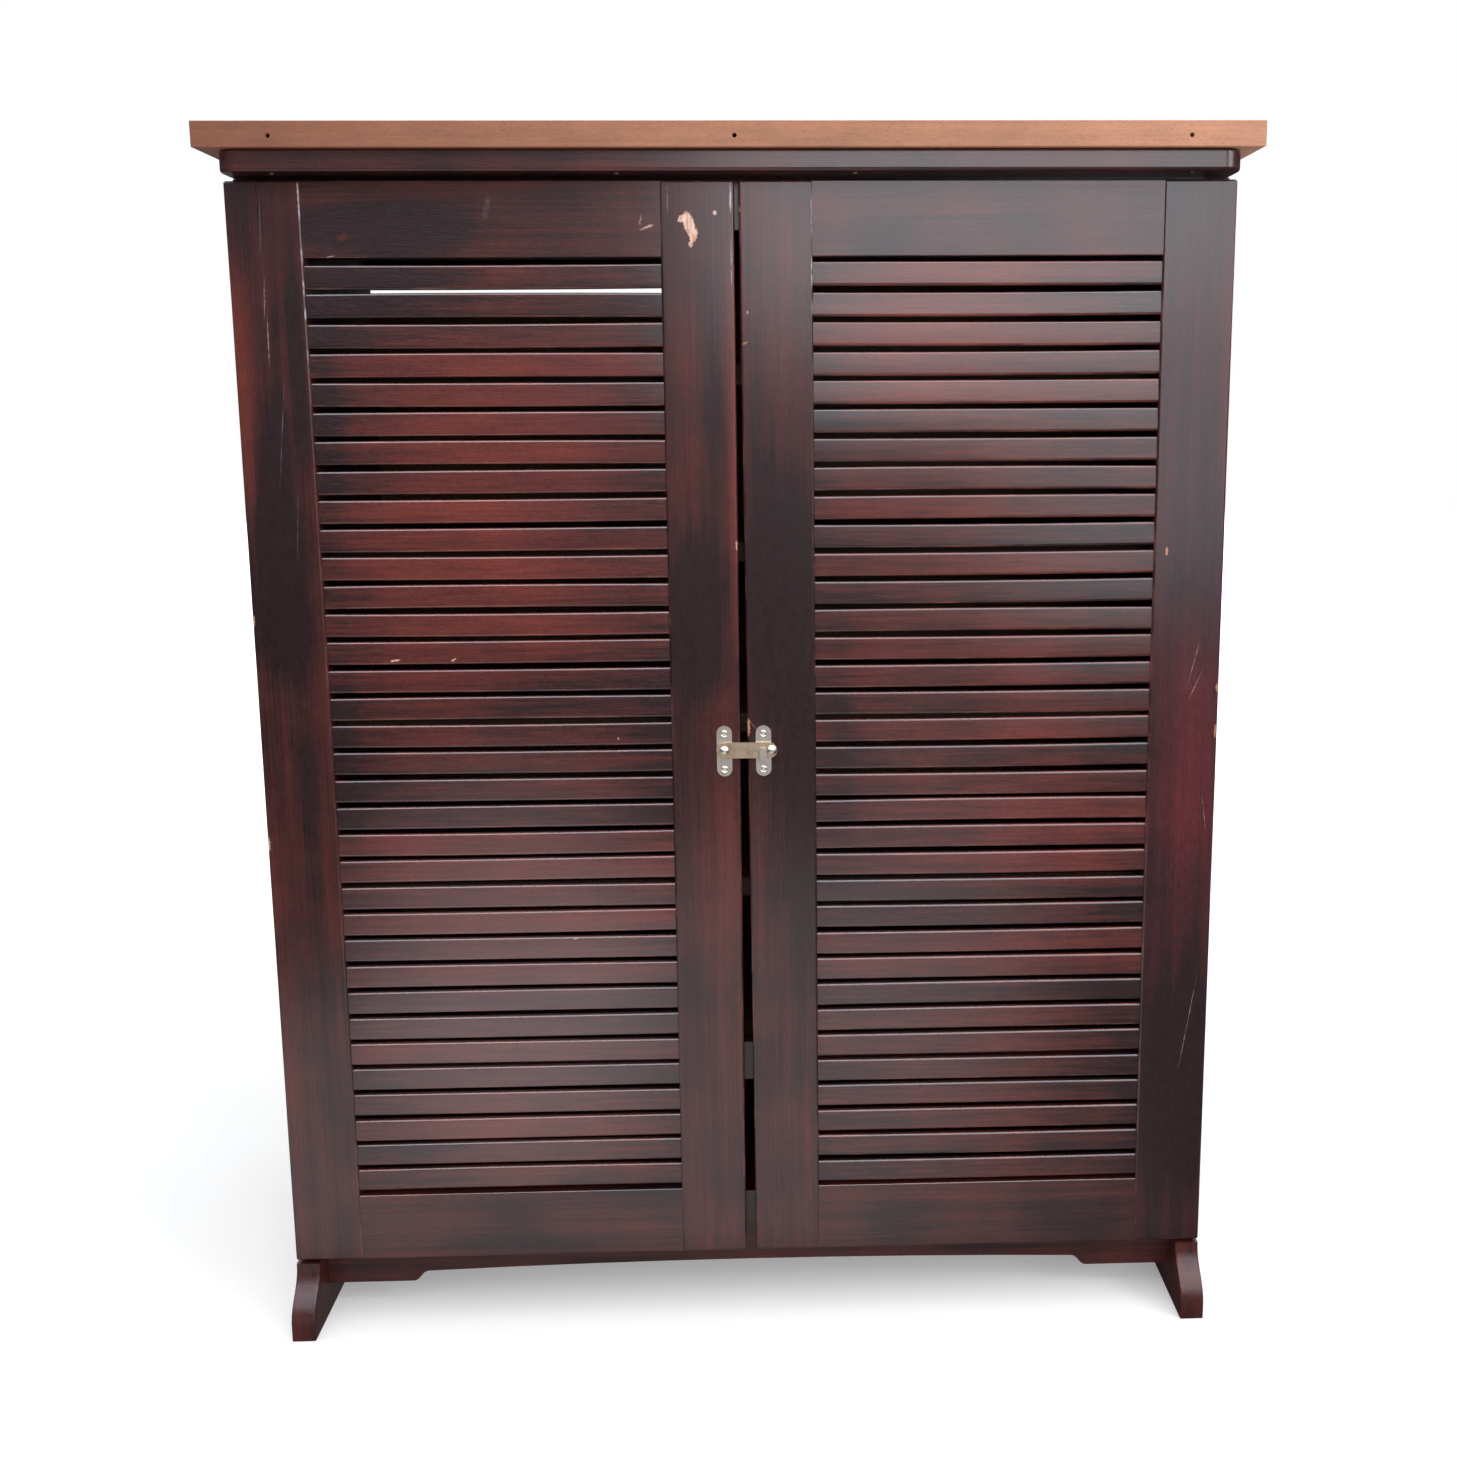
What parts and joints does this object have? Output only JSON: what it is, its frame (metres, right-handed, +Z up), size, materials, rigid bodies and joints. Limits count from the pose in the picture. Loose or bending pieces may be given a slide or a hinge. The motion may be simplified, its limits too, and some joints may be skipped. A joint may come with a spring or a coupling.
{
  "type": "shoe cabinet",
  "caption": "Upright louvred shoe cabinet: two hinged doors with a swinging bar latch, inner shelves, side panels that run down to curved toes, and a bare wooden top board.",
  "frame": {"origin": "on the floor, under the centre of the top board", "axes": "+Z up, -Y out of the doors, +X to the right of somebody who faces the doors"},
  "size_m": [0.932, 0.405, 1.146],
  "materials": {
    "stained_wood": "dark red-brown stain under satin lacquer, worn",
    "bare_beech": "bare sanded wood, fine straight grain",
    "inner_wood": "thin dark stain, matt",
    "hardboard": "plain brown hardboard",
    "plated_steel": "dulled nickel plate",
    "hinge_steel": "zinc plate",
    "screw_steel": "zinc plate"
  },
  "bodies": {
    "case": {"top_board": "bare_beech", "case_top": "stained_wood", "top_board_screws": "screw_steel", "left_side_panel": "stained_wood", "right_side_panel": "stained_wood", "bottom_board": "stained_wood", "front_apron": "stained_wood", "rear_apron": "stained_wood", "top_stretcher": "stained_wood", "back_top_rail": "stained_wood", "back_muntin": "stained_wood", "left_back_sheet": "hardboard", "right_back_sheet": "hardboard", "back_nails": "screw_steel", "lowest_shelf_rail": "stained_wood", "shelf_1": "inner_wood", "shelf_2": "inner_wood", "shelf_3": "inner_wood", "shelf_4": "inner_wood", "shelf_5": "inner_wood", "left_shelf_cleats": "inner_wood", "right_shelf_cleats": "inner_wood", "left_lower_hinge_case_leaf": "hinge_steel", "left_middle_hinge_case_leaf": "hinge_steel", "left_upper_hinge_case_leaf": "hinge_steel", "right_lower_hinge_case_leaf": "hinge_steel", "right_middle_hinge_case_leaf": "hinge_steel", "right_upper_hinge_case_leaf": "hinge_steel", "left_hinge_case_screws": "hinge_steel", "right_hinge_case_screws": "hinge_steel", "left_hinge_pins": "hinge_steel", "right_hinge_pins": "hinge_steel"},
    "left_door": {"left_door_hinge_stile": "stained_wood", "left_door_lock_stile": "stained_wood", "left_door_top_rail": "stained_wood", "left_door_bottom_rail": "stained_wood", "left_door_upper_slats": "stained_wood", "left_door_lower_slats": "stained_wood", "left_lower_hinge_door_leaf": "hinge_steel", "left_middle_hinge_door_leaf": "hinge_steel", "left_upper_hinge_door_leaf": "hinge_steel", "left_hinge_door_screws": "hinge_steel", "latch_plate": "plated_steel", "latch_plate_screws": "plated_steel", "latch_rivet": "plated_steel"},
    "right_door": {"right_door_hinge_stile": "stained_wood", "right_door_lock_stile": "stained_wood", "right_door_top_rail": "stained_wood", "right_door_bottom_rail": "stained_wood", "right_door_upper_slats": "stained_wood", "right_door_lower_slats": "stained_wood", "right_lower_hinge_door_leaf": "hinge_steel", "right_middle_hinge_door_leaf": "hinge_steel", "right_upper_hinge_door_leaf": "hinge_steel", "right_hinge_door_screws": "hinge_steel", "keeper_plate": "plated_steel", "keeper_plate_screws": "plated_steel"},
    "latch_arm": {"latch_arm": "plated_steel", "latch_knob": "plated_steel"}
  },
  "joints": [
    {"name": "left_door_hinge", "type": "hinge", "parent": "case", "child": "left_door", "pos_m": [-0.45335, -0.15425, 0.585], "axis": [0, 0, -1], "range_deg": [0, 175]},
    {"name": "right_door_hinge", "type": "hinge", "parent": "case", "child": "right_door", "pos_m": [0.45335, -0.15425, 0.585], "axis": [0, 0, 1], "range_deg": [0, 175]},
    {"name": "latch_arm_swing", "type": "hinge", "parent": "left_door", "child": "latch_arm", "pos_m": [-0.0184, -0.18, 0.582], "axis": [0, -1, 0], "range_deg": [0, 270]}
  ]
}
